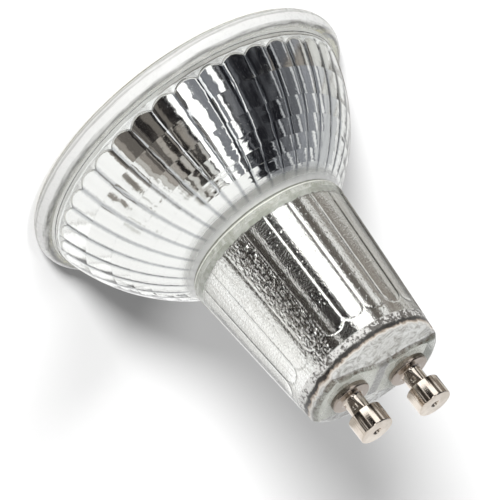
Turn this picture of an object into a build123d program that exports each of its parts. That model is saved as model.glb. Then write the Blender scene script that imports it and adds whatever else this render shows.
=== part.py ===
from build123d import *
import math
import os

# A two-pin twist-lock reflector lamp with a pressed glass body. It stands on its front
# rim at z = 0, its axis is Z, and its two pins point up on the X axis. Millimetres.

# Driving sizes of the lamp
rim_radius = 25.0
rim_height = 3.0
rim_round = 1.4
pin_spacing = 10.0
total_height = 52.5

# Bowl: one arc from the back of the rim to the shoulder ring
bowl_top_radius = 23.45
bowl_middle = (18.8, 13.26)
bowl_end = (11.7, 20.1)

# Neck and base
shoulder_radius = 12.2
shoulder_round = 0.9
shoulder_middle = (12.02, 20.415)
neck_end_radius = 10.3
neck_end_height = 43.2
bar_height = 45.8
base_round = 1.3
side_face_height = 45.0
side_face_slope = 6.0
lobe_radius = 4.4
waist_half_width = 3.4
glass_floor = 42.2

# Wall of the pressed glass: it thins out from the bowl to the end of the neck
bowl_wall = 2.0
neck_end_wall = 1.4

# Flutes inside the glass. A phase is the angle of the first flute's edge from X, and a
# crown of 1 is a flute's full height, which fades to 0 where the neck's flutes run out.
bowl_flutes = 36
bowl_flute_depth = 0.03
bowl_flute_phase = 7.9
bowl_steps = (3.3, 7.2, 10.5, 12.6, 14.4, 15.9, 17.1, 18.6)
neck_flutes = 18
neck_flute_depth = 0.045
neck_flute_phase = 15.0
neck_fade = ((38.8, 1.0), (39.8, 0.7), (40.4, 0.0))
neck_start = 18.6
lining = 0.3

# Front lens and its rebate
rebate_radius = 23.2
rebate_depth = 2.6
mouth_radius = 21.45
seal_lip = 0.3
lens_radius = 22.9
lens_gap = 0.6
lens_thickness = 1.8
cone_end_height = 16.2
cone_base_radius = 11.0
cone_middle = (9.6, 9.4)
cone_wall = 1.4
cone_lip = 0.4
pocket_radius = 4.8
pocket_depth = 4.0
pocket_rise = 0.8

# Heat spreader and LED board
spreader_thickness = 1.2
spreader_radius = 9.8
led_board_radius = 7.0
led_board_thickness = 1.0
led_size = 2.8
led_height = 0.7
led_offset = 2.05
led_dome = (1.1, 0.7, 0.3)
screw_offset = 5.2
screw_radius = 0.8
screw_head_radius = 1.3
screw_head_height = 0.8
screw_slot = (1.8, 0.4, 0.35)

# Neck lining, driver tube and driver board
sleeve_start = 21.4
sleeve_end = 42.0
sleeve_thickness = 1.2
tube_bore = 7.0
tube_end = 40.5
groove_radius = 7.4
driver_thickness = 1.2
driver_bottom = 22.0
driver_top = 38.6

# Parts on the driver board, each between two heights
can_radius = 2.9
can_span = (29.5, 37.0)
can_groove = (0.9, 1.4, 0.25)
can_lead_x = 1.2
lead_half = 0.25
choke_span = (25.0, 31.0)
choke_flange_radius = 2.6
choke_flange = 1.0
choke_hub_radius = 1.3
choke_winding_radius = 2.3
film_half_width = 3.0
film_depth = 2.8
film_span = (32.4, 37.4)
film_round = 0.5
chip_x = 3.4
chip_bottom = 24.6
chip_height = 3.9
chip_half_width = 1.6
chip_depth = (0.2, 1.8)
foot_size = (0.7, 0.9, 0.4)
resistor_x = 4.6
resistor_radius = 1.0
resistor_span = (26.0, 31.0)
resistor_leads = ((24.6, 26.0), (31.0, 32.0))

# Wires: where they pass the LED board and where they enter the driver board
wire_radius = 0.4
led_wire_x = 1.3
led_wire_y = 5.0
led_wire_height = 23.0
led_wire_bend = 1.4
led_wire_hole = 0.7
pin_wire_height = 36.8
pin_wire_y = 2.2
pin_wire_drops = (39.8, 38.4)
pin_wire_bend = 0.7

# Pins
head_radius = 2.5
head_length = 3.1
collar_radius = 2.9
collar_height = 0.85
shank_radius = 1.45
tail_radius = 1.1
tail_end = 41.0
tail_flare = 0.4
tail_bore_depth = 1.6
head_chamfer = 0.25
dimple_radius = 0.62
dimple_depth = 0.45
shank_flat_depth = 0.32
shank_flat_start = 46.95
shank_flat_side = -42.0
washer_radius = 2.2
washer_thickness = 0.6

sides = {"right": 1, "left": -1}
pin_x = pin_spacing / 2
flat_limit = 1e-6


def outline_point(radius, height):
    """A point of a section that is turned about Z."""
    return (radius, 0, height)


def turned(*runs):
    """Solid of revolution about Z from the runs of a closed section."""
    edges = [edge for run in runs for edge in run.edges()]
    return revolve(Face(Wire(edges)), Axis.Z).solid()


def turned_polygon(*corners):
    """Solid of revolution about Z from the corners of a closed section."""
    points = [outline_point(*corner) for corner in corners]
    return revolve(Face(Polyline(*points, close=True)), Axis.Z).solid()


def rod(radius, bottom, top, x=0.0, y=0.0):
    """Upright cylinder between two heights."""
    blank = Cylinder(radius, top - bottom, align=(Align.CENTER, Align.CENTER, Align.MIN))
    return Pos(x, y, bottom) * blank


def block(x, y, z):
    """Box from its lowest and highest value along each axis."""
    size = [high - low for low, high in (x, y, z)]
    middle = [(high + low) / 2 for low, high in (x, y, z)]
    return Pos(*middle) * Box(*size)


def bent_wire(points, radius, bend):
    """Round wire along straight runs joined by arcs."""
    path = FilletPolyline(*points, radius=bend)
    start = Plane(origin=path @ 0, z_dir=path % 0)
    return sweep(start * Circle(radius), path).solid()


def bowl_arc():
    """Centre and radius of the bowl's arc, through its three given points."""
    (r1, z1), (r2, z2), (r3, z3) = (bowl_top_radius, rim_height), bowl_middle, bowl_end
    a, b, c = 2 * (r2 - r1), 2 * (z2 - z1), r2**2 - r1**2 + z2**2 - z1**2
    d, e, f = 2 * (r3 - r1), 2 * (z3 - z1), r3**2 - r1**2 + z3**2 - z1**2
    centre_r = (c * e - b * f) / (a * e - b * d)
    centre_z = (a * f - c * d) / (a * e - b * d)
    radius = math.hypot(r1 - centre_r, z1 - centre_z)
    return centre_r, centre_z, radius


def inner_bowl_radius(height, inset):
    """Radius of the bowl's arc, moved inwards by an inset, at a height."""
    centre_r, centre_z, radius = bowl_arc()
    return centre_r + math.sqrt((radius - inset) ** 2 - (height - centre_z) ** 2)


def neck_radius(height):
    """Outer radius of the neck's straight taper at a height."""
    share = (height - bowl_end[1]) / (neck_end_height - bowl_end[1])
    return shoulder_radius + share * (neck_end_radius - shoulder_radius)


def inner_neck_radius(height):
    """Radius of the neck's inside, where the wall thins out towards the base."""
    share = (height - neck_start) / (glass_floor - neck_start)
    return neck_radius(height) - bowl_wall - share * (neck_end_wall - bowl_wall)


def fluted_ring(radius, height, count, depth, phase, crown=1.0):
    """Points of one level: each flute has a sharp edge and a flat crown."""
    points = []
    for flute in range(count):
        for share, rise in ((0.0, 0.0), (1 / 3, crown), (2 / 3, crown)):
            angle = math.radians(phase) + 2 * math.pi * (flute + share) / count
            reach = radius * (1 - depth * (1 - rise))
            points.append(Vector(reach * math.cos(angle), reach * math.sin(angle), height))
    return points


def facets_between(corners):
    """One flat facet through four corners, or two where the corners are out of plane."""
    first, second, third, fourth = corners
    normal = (second - first).cross(third - first).normalized()
    if abs(normal.dot(fourth - first)) < flat_limit:
        return [Face(Polyline(*corners, close=True))]
    halves = ((first, second, third), (first, third, fourth))
    return [Face(Polyline(*half, close=True)) for half in halves]


def ring_walls(rings):
    """Flat facets between each ring of points and the next."""
    facets = []
    for lower, upper in zip(rings, rings[1:]):
        for index in range(len(lower)):
            after = (index + 1) % len(lower)
            facets += facets_between((lower[index], lower[after], upper[after], upper[index]))
    return facets


def fluted_block(rings):
    """Solid inside the rings."""
    ends = [Face(Polyline(*ring, close=True)) for ring in (rings[0], rings[-1])]
    return Solid(Shell(ring_walls(rings) + ends))


def fluted_lining(outer, inner):
    """Thin fluted solid between two sets of rings, open at both ends."""
    ends = []
    for outside, inside in ((outer[0], inner[0]), (outer[-1], inner[-1])):
        ends.append(Face(Polyline(*outside, close=True), [Polyline(*inside, close=True)]))
    return Solid(Shell(ring_walls(outer) + ring_walls(inner) + ends))


def bowl_rings(inset):
    """Levels of the bowl's flutes."""
    flutes = (bowl_flutes, bowl_flute_depth, bowl_flute_phase)
    return [fluted_ring(inner_bowl_radius(z, inset), z, *flutes) for z in bowl_steps]


def neck_rings(bottom, top):
    """Levels of the neck's flutes, which run out in rounded ends near the base."""
    flutes = (neck_flutes, neck_flute_depth, neck_flute_phase)
    levels = ((bottom, 1.0), *neck_fade, (top, 0.0))
    return [fluted_ring(inner_neck_radius(z), z, *flutes, crown) for z, crown in levels]


def glass_body():
    """Rim, bowl, neck and base bar, pressed in one piece and hollow inside."""
    edge = rim_radius - rim_round
    shoulder = bowl_end[1] + shoulder_round
    base_radius = neck_radius(bar_height)
    side = math.sqrt(0.5)
    outline = [
        Polyline(outline_point(0, bar_height), outline_point(0, 0), outline_point(edge, 0)),
        ThreePointArc(
            outline_point(edge, 0),
            outline_point(edge + rim_round * side, rim_round * (1 - side)),
            outline_point(rim_radius, rim_round),
        ),
        Line(outline_point(rim_radius, rim_round), outline_point(rim_radius, rim_height - rim_round)),
        ThreePointArc(
            outline_point(rim_radius, rim_height - rim_round),
            outline_point(edge + rim_round * side, rim_height - rim_round * (1 - side)),
            outline_point(edge, rim_height),
        ),
        Line(outline_point(edge, rim_height), outline_point(bowl_top_radius, rim_height)),
        ThreePointArc(
            outline_point(bowl_top_radius, rim_height),
            outline_point(*bowl_middle),
            outline_point(*bowl_end),
        ),
        ThreePointArc(
            outline_point(*bowl_end),
            outline_point(*shoulder_middle),
            outline_point(neck_radius(shoulder), shoulder),
        ),
        Line(
            outline_point(neck_radius(shoulder), shoulder),
            outline_point(base_radius, bar_height - base_round),
        ),
        ThreePointArc(
            outline_point(base_radius, bar_height - base_round),
            outline_point(base_radius - base_round * (1 - side), bar_height - base_round * (1 - side)),
            outline_point(base_radius - base_round, bar_height),
        ),
        Line(outline_point(base_radius - base_round, bar_height), outline_point(0, bar_height)),
    ]
    body = turned(*outline)
    body -= rod(rebate_radius, 0, rebate_depth)
    body -= rod(mouth_radius, 0, bowl_steps[0])
    body -= fluted_block(bowl_rings(bowl_wall))
    body -= fluted_block(neck_rings(neck_start, glass_floor))
    for sign in sides.values():
        body -= side_cut(sign)
        body -= rod(tail_radius, tail_end, bar_height, sign * pin_x)
    return body.solid()


def side_cut(sign):
    """What is taken off beside the base bar, down to a gently sloping face."""
    reach = rim_radius
    slope = math.tan(math.radians(side_face_slope))
    middle_height = side_face_height + lobe_radius * slope
    section = Polyline(
        (0, 0, middle_height),
        (0, sign * reach, middle_height - reach * slope),
        (0, sign * reach, total_height),
        (0, 0, total_height),
        close=True,
    )
    tool = extrude(Face(section), reach, both=True)
    bar = block((-reach, reach), (-waist_half_width, waist_half_width), (0, total_height))
    for side in sides.values():
        bar += rod(lobe_radius, 0, total_height, side * pin_x)
        bar += block(sorted((side * pin_x, side * reach)), (-lobe_radius, lobe_radius), (0, total_height))
    return tool - bar


def front_lens():
    """Clear plate with a collimating cone and a domed pocket over the LEDs."""
    inner = lens_gap + lens_thickness
    pocket_edge = cone_end_height - pocket_depth
    pocket_top = pocket_edge + pocket_rise
    dome = (pocket_radius**2 + pocket_rise**2) / (2 * pocket_rise)
    dome_middle = pocket_top - dome + math.sqrt(dome**2 - (pocket_radius / 2) ** 2)
    outline = [
        Polyline(
            outline_point(0, pocket_top),
            outline_point(0, lens_gap),
            outline_point(lens_radius, lens_gap),
            outline_point(lens_radius, inner),
            outline_point(cone_base_radius, inner),
        ),
        ThreePointArc(
            outline_point(cone_base_radius, inner),
            outline_point(*cone_middle),
            outline_point(pocket_radius + cone_wall, cone_end_height),
        ),
        Polyline(
            outline_point(pocket_radius + cone_wall, cone_end_height),
            outline_point(pocket_radius + cone_lip, cone_end_height),
            outline_point(pocket_radius, pocket_edge),
        ),
        ThreePointArc(
            outline_point(pocket_radius, pocket_edge),
            outline_point(pocket_radius / 2, dome_middle),
            outline_point(0, pocket_top),
        ),
    ]
    return turned(*outline)


def lens_seal():
    """Silicone ring of angle section, round the lens plate and behind it."""
    inner = lens_gap + lens_thickness
    return turned_polygon(
        (lens_radius, lens_gap),
        (rebate_radius, lens_gap),
        (rebate_radius, rebate_depth),
        (mouth_radius + seal_lip, rebate_depth),
        (mouth_radius + seal_lip, inner),
        (lens_radius, inner),
    )


def heat_spreader():
    """Aluminium disc with holes for the board screws and the LED wires."""
    disc = rod(spreader_radius, neck_start, neck_start + spreader_thickness)
    for sign in sides.values():
        disc -= rod(screw_radius, neck_start, neck_start + spreader_thickness, sign * screw_offset)
        disc -= rod(
            led_wire_hole, neck_start, neck_start + spreader_thickness, sign * led_wire_x, led_wire_y
        )
    return disc.solid()


def led_board():
    """Round aluminium-core board under the heat spreader."""
    bottom = neck_start - led_board_thickness
    disc = rod(led_board_radius, bottom, neck_start)
    for sign in sides.values():
        disc -= rod(screw_radius, bottom, neck_start, sign * screw_offset)
        disc -= rod(wire_radius, bottom, neck_start, sign * led_wire_x, led_wire_y)
    return disc.solid()


def led_package(x, y):
    """Square package with a round, tapered emitting recess in its front."""
    top = neck_start - led_board_thickness
    half = led_size / 2
    body = block((x - half, x + half), (y - half, y + half), (top - led_height, top))
    recess = Cone(*led_dome, align=(Align.CENTER, Align.CENTER, Align.MIN))
    return (body - Pos(x, y, top - led_height) * recess).solid()


def board_screw(sign):
    """Pan-head screw through the LED board into the heat spreader."""
    under = neck_start - led_board_thickness
    x, bottom = sign * screw_offset, under - screw_head_height
    head = rod(screw_head_radius, bottom, under, x)
    length, width, depth = screw_slot
    slot = block((x - length / 2, x + length / 2), (-width / 2, width / 2), (bottom, bottom + depth))
    shank = rod(screw_radius, under, neck_start + spreader_thickness, x)
    return (head - slot + shank).solid()


def neck_sleeve():
    """Aluminium lining of the neck: fluted outside, smooth inside."""
    shell = fluted_block(neck_rings(sleeve_start, sleeve_end))
    return (shell - tube_cone(sleeve_start, sleeve_end)).solid()


def tube_cone(bottom, top):
    """Smooth cone inside the neck lining."""
    low, high = (inner_neck_radius(z) - sleeve_thickness for z in (bottom, top))
    return turned_polygon((0, bottom), (low, bottom), (high, top), (0, top))


def insulator_tube():
    """Plastic tube inside the lining, with grooves for the driver board's edges."""
    bottom = neck_start + spreader_thickness
    tube = tube_cone(bottom, tube_end) - rod(tube_bore, bottom, tube_end)
    half = driver_thickness / 2
    tube -= block((-groove_radius, groove_radius), (-half, half), (driver_bottom, tube_end))
    return tube.solid()


def driver_board():
    """Board on edge in the tube's grooves, drilled for its wires."""
    half = driver_thickness / 2
    board = block((-groove_radius, groove_radius), (-half, half), (driver_bottom, driver_top))
    for sign in sides.values():
        board -= cross_hole(sign * led_wire_x, led_wire_height)
        board -= cross_hole(sign * pin_x, pin_wire_height)
    return board.solid()


def cross_hole(x, height):
    """Hole through the driver board."""
    return Pos(x, 0, height) * Rot(90, 0, 0) * Cylinder(wire_radius, 2 * driver_thickness)


def smoothing_capacitor():
    """Can that lies on the board, with a groove near its leads' end."""
    bottom, top = can_span
    low, high, depth = can_groove
    y = driver_thickness / 2 + can_radius
    can = rod(can_radius, bottom, top, 0, y)
    can -= rod(can_radius, bottom + low, bottom + high, 0, y) - rod(can_radius - depth, bottom, top, 0, y)
    for sign in sides.values():
        x = sign * can_lead_x
        can += block(
            (x - lead_half, x + lead_half), (driver_thickness / 2, y), (bottom - 2 * lead_half, bottom)
        )
    return can.solid()


def choke_core():
    """Ferrite drum: two flanges on a hub."""
    bottom, top = choke_span
    y = -driver_thickness / 2 - choke_flange_radius
    drum = rod(choke_hub_radius, bottom, top, 0, y)
    drum += rod(choke_flange_radius, bottom, bottom + choke_flange, 0, y)
    drum += rod(choke_flange_radius, top - choke_flange, top, 0, y)
    return drum.solid()


def choke_winding():
    """Copper winding between the drum's flanges."""
    bottom, top = choke_span[0] + choke_flange, choke_span[1] - choke_flange
    y = -driver_thickness / 2 - choke_flange_radius
    ring = rod(choke_winding_radius, bottom, top, 0, y) - rod(choke_hub_radius, bottom, top, 0, y)
    return ring.solid()


def film_capacitor():
    """Moulded box with softened edges."""
    half = driver_thickness / 2
    box = block((-film_half_width, film_half_width), (-half - film_depth, -half), film_span)
    return fillet(box.edges().filter_by(Axis.Y), film_round).solid()


def flat_chip(x, feet):
    """Moulded package on the board's front with rows of feet at its sides."""
    half = driver_thickness / 2
    low, high = chip_depth
    length, rise, width = foot_size
    chip = block(
        (x - chip_half_width, x + chip_half_width),
        (half + low, half + high),
        (chip_bottom, chip_bottom + chip_height),
    )
    pitch = chip_height / feet
    for foot in range(feet):
        z = chip_bottom + pitch * (foot + 0.5)
        for sign in sides.values():
            span = sorted((x + sign * chip_half_width, x + sign * (chip_half_width + length)))
            chip += block(span, (half, half + rise), (z - width / 2, z + width / 2))
    return chip.solid()


def fusible_resistor():
    """Coated resistor along the board with a lead at each end."""
    half = driver_thickness / 2
    x, y = resistor_x, -half - resistor_radius
    body = rod(resistor_radius, *resistor_span, x, y)
    for span in resistor_leads:
        body += block((x - lead_half, x + lead_half), (y - lead_half, -half), span)
    return body.solid()


def contact_pin(sign):
    """Turned pin: head, shank, collar and a tail that is flared over its washer."""
    head_start = total_height - head_length
    collar_top = bar_height + collar_height
    flare = glass_floor - washer_thickness
    pin = turned_polygon(
        (0, total_height),
        (head_radius - head_chamfer, total_height),
        (head_radius, total_height - head_chamfer),
        (head_radius, head_start),
        (shank_radius, head_start),
        (shank_radius, collar_top),
        (collar_radius, collar_top),
        (collar_radius, bar_height),
        (tail_radius, bar_height),
        (tail_radius, flare),
        (tail_radius + tail_flare, flare),
        (tail_radius, tail_end),
        (wire_radius, tail_end),
        (wire_radius, tail_end + tail_bore_depth),
        (0, tail_end + tail_bore_depth),
    )
    pin -= rod(dimple_radius, total_height - dimple_depth, total_height)
    pin -= shank_flat(head_start)
    return (Pos(sign * pin_x, 0, 0) * pin).solid()


def shank_flat(head_start):
    """What the slanted flat takes off one side of a pin's shank."""
    wedge = Polyline(
        (shank_radius, 0, shank_flat_start),
        (shank_radius - shank_flat_depth, 0, head_start),
        (head_radius, 0, head_start),
        (head_radius, 0, shank_flat_start),
        close=True,
    )
    return Rot(0, 0, shank_flat_side) * extrude(Face(wedge), head_radius, both=True)


def pin_washer(sign):
    """Washer between the glass and the tail's flare."""
    bottom = glass_floor - washer_thickness
    ring = rod(washer_radius, bottom, glass_floor, sign * pin_x)
    return (ring - rod(tail_radius, bottom, glass_floor, sign * pin_x)).solid()


def pin_wire(sign):
    """Wire from the pin's bore into the driver board."""
    x = sign * pin_x
    upper, lower = pin_wire_drops
    points = [
        (x, 0, tail_end + tail_bore_depth),
        (x, 0, upper),
        (x, pin_wire_y, lower),
        (x, pin_wire_y, pin_wire_height),
        (x, -driver_thickness / 2, pin_wire_height),
    ]
    return bent_wire(points, wire_radius, pin_wire_bend)


def led_wire(sign):
    """Wire from the driver board through the heat spreader to the LED board."""
    x = sign * led_wire_x
    bottom = neck_start - led_board_thickness
    points = [
        (x, -driver_thickness / 2, led_wire_height),
        (x, led_wire_y, led_wire_height),
        (x, led_wire_y, bottom),
    ]
    return bent_wire(points, wire_radius, led_wire_bend)


def lamp():
    """Every piece by its node's name."""
    pieces = {
        "glass_body": glass_body(),
        "fluted_reflector": fluted_lining(bowl_rings(bowl_wall), bowl_rings(bowl_wall + lining)),
        "neck_sleeve": neck_sleeve(),
        "front_lens": front_lens(),
        "lens_seal": lens_seal(),
        "heat_spreader": heat_spreader(),
        "led_board": led_board(),
        "insulator_tube": insulator_tube(),
        "driver_board": driver_board(),
        "smoothing_capacitor": smoothing_capacitor(),
        "film_capacitor": film_capacitor(),
        "choke_core": choke_core(),
        "choke_winding": choke_winding(),
        "bridge_rectifier": flat_chip(-chip_x, 2),
        "driver_chip": flat_chip(chip_x, 4),
        "fusible_resistor": fusible_resistor(),
    }
    corners = [(x, y) for x in (-led_offset, led_offset) for y in (-led_offset, led_offset)]
    for number, (x, y) in enumerate(corners, start=1):
        pieces[f"led_package_{number}"] = led_package(x, y)
    for name, sign in sides.items():
        pieces[f"board_screw_{name}"] = board_screw(sign)
        pieces[f"contact_pin_{name}"] = contact_pin(sign)
        pieces[f"pin_washer_{name}"] = pin_washer(sign)
        pieces[f"pin_wire_{name}"] = pin_wire(sign)
        pieces[f"led_wire_{name}"] = led_wire(sign)
    return pieces


os.makedirs("parts", exist_ok=True)
for name, solid in lamp().items():
    export_step(solid, f"parts/{name}.step")
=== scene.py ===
import math
import bpy
import numpy as np
from mathutils import Matrix


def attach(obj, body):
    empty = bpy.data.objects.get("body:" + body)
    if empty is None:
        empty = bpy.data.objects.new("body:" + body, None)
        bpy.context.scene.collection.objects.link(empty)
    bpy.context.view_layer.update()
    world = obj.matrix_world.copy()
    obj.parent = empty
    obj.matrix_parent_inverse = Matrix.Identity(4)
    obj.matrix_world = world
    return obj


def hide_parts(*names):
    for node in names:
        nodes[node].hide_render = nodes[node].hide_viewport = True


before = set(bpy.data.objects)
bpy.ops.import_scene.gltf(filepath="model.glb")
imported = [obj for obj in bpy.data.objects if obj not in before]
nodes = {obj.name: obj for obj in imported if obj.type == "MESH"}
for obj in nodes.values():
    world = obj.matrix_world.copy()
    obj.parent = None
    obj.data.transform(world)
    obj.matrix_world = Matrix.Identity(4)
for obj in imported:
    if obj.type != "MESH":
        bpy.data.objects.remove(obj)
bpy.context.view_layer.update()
mm = 0.001
perMetre = 1000  # millimetres
viewAzimuth = -55.69  # degrees from X to the camera's place
rng = np.random.default_rng(11)  # seeded, so that each run gives the same lamp


# Numbers and curves
def smooth(low, high, value):
    # 0 below low, 1 above high, and 3t^2 - 2t^3 between them
    t = np.clip((value - low) / (high - low), 0, 1)
    return t * t * (3 - 2 * t)


def softMin(a, b, blend):
    # the smaller of two, with a round join where they are nearly the same
    h = np.clip(0.5 + 0.5 * (b - a) / blend, 0, 1)
    return b + (a - b) * h - blend * h * (1 - h)


def roundedLine(corners, steps):
    # a polyline of (r, z, radius): each corner is replaced by a quadratic arc that starts
    # and ends one radius away from it, or half way to the next corner
    points = []
    for index, (r, z, radius) in enumerate(corners):
        here = np.array([r, z], float)
        if radius == 0 or index in (0, len(corners) - 1):
            points.append(here)
            continue
        before = np.array(corners[index - 1][:2], float) - here
        after = np.array(corners[index + 1][:2], float) - here
        start = here + before / np.linalg.norm(before) * min(radius, np.linalg.norm(before) / 2)
        end = here + after / np.linalg.norm(after) * min(radius, np.linalg.norm(after) / 2)
        t = np.linspace(0, 1, steps)[:, None]
        points.extend((1 - t) ** 2 * start + 2 * t * (1 - t) * here + t ** 2 * end)
    return np.array(points)


def arcPoints(centre, radius, start, end, count):
    # points of a circle in (r, z) between two angles in degrees
    t = np.radians(np.linspace(start, end, count))
    return np.stack([centre[0] + radius * np.cos(t), centre[1] + radius * np.sin(t)], 1)


def ripple(phi, reach, lowest, count):
    # a closed random line round the axis: a sum of sines of whole numbers of waves, scaled
    # so that its largest value is the reach
    total = np.zeros_like(phi)
    for wave in range(lowest, lowest + count):
        total += np.sin(wave * phi + rng.uniform(0, 2 * np.pi)) * rng.normal()
    return reach * total / np.abs(total).max()


# Meshes
def gridQuads(rows, columns, joined):
    # one quad between each row and the next, and each column and the next, which close
    # round the axis; joined closes the last row on the first
    row = np.arange(rows if joined else rows - 1)[:, None]
    column = np.arange(columns)[None, :]
    after = (column + 1) % columns
    lower, upper = row * columns, (row + 1) % rows * columns
    corners = [lower + column, lower + after, upper + after, upper + column]
    return np.stack(corners, -1).reshape(-1, 4)


def fan(pole, ring, after):
    # one triangle from a pole to each vertex of a ring and the one after it
    return np.stack([np.full(len(ring), pole), ring, after], 1)


def addSurface(name, grid, firstPole=None, lastPole=None, joined=False,
               sharpRows=(), sharpColumns=(), smoothShade=True):
    # grid[row, column] holds points in mm; a pole closes an end with a fan
    rows, columns = grid.shape[:2]
    points = grid.reshape(-1, 3)
    quads = gridQuads(rows, columns, joined)
    ring = np.arange(columns)
    after = (ring + 1) % columns
    fans = [np.zeros((0, 3), int)]
    if firstPole is not None:
        points = np.vstack([points, firstPole])
        fans.append(fan(len(points) - 1, after, ring))
    if lastPole is not None:
        points = np.vstack([points, lastPole])
        last = (rows - 1) * columns
        fans.append(fan(len(points) - 1, last + ring, last + after))
    fans = np.concatenate(fans)
    corners = np.concatenate([quads.ravel(), fans.ravel()]).astype(np.int32)
    starts = np.concatenate([np.arange(len(quads)) * 4, quads.size + np.arange(len(fans)) * 3])
    mesh = bpy.data.meshes.new(name)
    mesh.vertices.add(len(points))
    mesh.vertices.foreach_set("co", (points * mm).astype(np.float32).ravel())
    mesh.loops.add(len(corners))
    mesh.loops.foreach_set("vertex_index", corners)
    mesh.polygons.add(len(starts))
    mesh.polygons.foreach_set("loop_start", starts.astype(np.int32))
    mesh.update(calc_edges=True)
    mesh.validate()
    if smoothShade:
        mesh.shade_smooth()
        markSharp(mesh, columns, sharpRows, sharpColumns)
    else:
        mesh.shade_flat()
    thing = bpy.data.objects.new(name, mesh)
    bpy.context.scene.collection.objects.link(thing)
    return thing


def markSharp(mesh, columns, sharpRows, sharpColumns):
    # edges that lie along a named row or column keep a hard crease in the shading
    if not len(sharpRows) and not len(sharpColumns):
        return
    ends = np.empty(len(mesh.edges) * 2, np.int32)
    mesh.edges.foreach_get("vertices", ends)
    row, column = np.divmod(ends.reshape(-1, 2), columns)
    alongRow = (row[:, 0] == row[:, 1]) & np.isin(row[:, 0], sharpRows)
    alongColumn = (column[:, 0] == column[:, 1]) & np.isin(column[:, 0], sharpColumns)
    mark = mesh.attributes.new("sharp_edge", "BOOLEAN", "EDGE")
    mark.data.foreach_set("value", alongRow | alongColumn)


def turnedGrid(radius, height, phi, x=0.0):
    # (x + r cos phi, r sin phi, z) for each row of r and z, which may change with phi
    radius, height = (np.asarray(value, float) for value in (radius, height))
    radius, height = (value[:, None] if value.ndim == 1 else value for value in (radius, height))
    radius, height = np.broadcast_arrays(radius + 0 * phi, height + 0 * phi)
    return np.stack([x + radius * np.cos(phi), radius * np.sin(phi), height], -1)


def place(thing, material, slot, replaced):
    # gives a new piece its material and its body, and hides the node that it stands for
    thing.data.materials.append(material)
    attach(thing, "root")
    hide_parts(replaced)


# Shader expressions
class Wire:
    # one output socket: arithmetic on it adds Math nodes
    def __init__(self, net, out):
        self.net, self.out = net, out

    def math(self, operation, *values):
        return self.net.add("ShaderNodeMath", {"operation": operation}, dict(enumerate(values)))

    def __add__(self, other):
        return self.math("ADD", self, other)

    def __radd__(self, other):
        return self.math("ADD", other, self)

    def __sub__(self, other):
        return self.math("SUBTRACT", self, other)

    def __rsub__(self, other):
        return self.math("SUBTRACT", other, self)

    def __mul__(self, other):
        return self.math("MULTIPLY", self, other)

    def __rmul__(self, other):
        return self.math("MULTIPLY", other, self)

    def __truediv__(self, other):
        return self.math("DIVIDE", self, other)

    def __rtruediv__(self, other):
        return self.math("DIVIDE", other, self)

    def root(self):
        return self.math("SQRT", self)

    def magnitude(self):
        return self.math("ABSOLUTE", self)

    def atLeast(self, other):
        return self.math("MAXIMUM", self, other)

    def above(self, other):
        return self.math("GREATER_THAN", self, other)


class Net:
    # the node tree of one material or of the world
    def __init__(self, tree):
        self.tree = tree
        tree.nodes.clear()

    def add(self, kind, settings=None, sockets=None, output=0):
        # one node: its settings first, then the value or link of each named socket
        node = self.tree.nodes.new(kind)
        for name, value in (settings or {}).items():
            if name == "stops":
                self.setStops(node.color_ramp, value)
            else:
                setattr(node, name, value)
        for key, value in (sockets or {}).items():
            if isinstance(value, Wire):
                self.tree.links.new(value.out, node.inputs[key])
            else:
                node.inputs[key].default_value = value
        return Wire(self, node.outputs[output]) if len(node.outputs) else node

    def setStops(self, ramp, stops):
        # each stop is a place from 0 to 1 and a colour, or one number for a grey
        while len(ramp.elements) < len(stops):
            ramp.elements.new(1.0)
        for element, (place, colour) in zip(ramp.elements, stops):
            element.position = place
            element.color = (*colour, 1) if np.ndim(colour) else (colour, colour, colour, 1)

    def coordinate(self, name="Object"):
        return self.add("ShaderNodeTexCoord", output=name)

    def parts(self, vector):
        # x, y and z of a vector
        split = self.add("ShaderNodeSeparateXYZ", sockets={0: vector})
        return split, Wire(self, split.out.node.outputs[1]), Wire(self, split.out.node.outputs[2])

    def stretched(self, vector, scales):
        return self.add("ShaderNodeVectorMath", {"operation": "MULTIPLY"}, {0: vector, 1: scales})

    def noise(self, vector, scale, detail=2.0, roughness=0.5, distortion=0.0):
        given = {"Vector": vector, "Scale": scale, "Detail": detail}
        given.update({"Roughness": roughness, "Distortion": distortion})
        return self.add("ShaderNodeTexNoise", sockets=given)

    def ramp(self, value, stops):
        return self.add("ShaderNodeValToRGB", {"stops": stops}, {"Fac": value})

    def step(self, value, low, high):
        # 0 below low and 1 above high, with soft ends
        given = {0: value, 1: low, 2: high}
        return self.add("ShaderNodeMapRange", {"interpolation_type": "SMOOTHSTEP"}, given)

    def band(self, value, low, high, soft):
        # 1 between low and high
        return self.step(value, low - soft, low + soft) * (
            1 - self.step(value, high - soft, high + soft))

    def blend(self, factor, a, b):
        # goes from colour a to colour b as the factor goes from 0 to 1
        ends = [value if isinstance(value, Wire) else (*value, 1) for value in (a, b)]
        given = {0: factor, 6: ends[0], 7: ends[1]}
        return self.add("ShaderNodeMix", {"data_type": "RGBA"}, given, output=2)

    def bump(self, height, strength, distance):
        given = {"Height": height, "Strength": strength, "Distance": distance}
        return self.add("ShaderNodeBump", sockets=given)

    def principled(self, **sockets):
        # underscores in the names of sockets stand for spaces
        given = {}
        for key, value in sockets.items():
            if isinstance(value, tuple):
                value = (*value, 1)
            given[key.replace("_", " ")] = value
        return self.add("ShaderNodeBsdfPrincipled", sockets=given)

    def finish(self, shader):
        self.add("ShaderNodeOutputMaterial", sockets={"Surface": shader})


def newMaterial(name):
    # an empty material and its net
    material = bpy.data.materials.new(name)
    material.use_nodes = True
    return material, Net(material.node_tree)


def surface(net, **sockets):
    # one principled shader is the whole surface
    net.finish(net.principled(**sockets))


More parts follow.
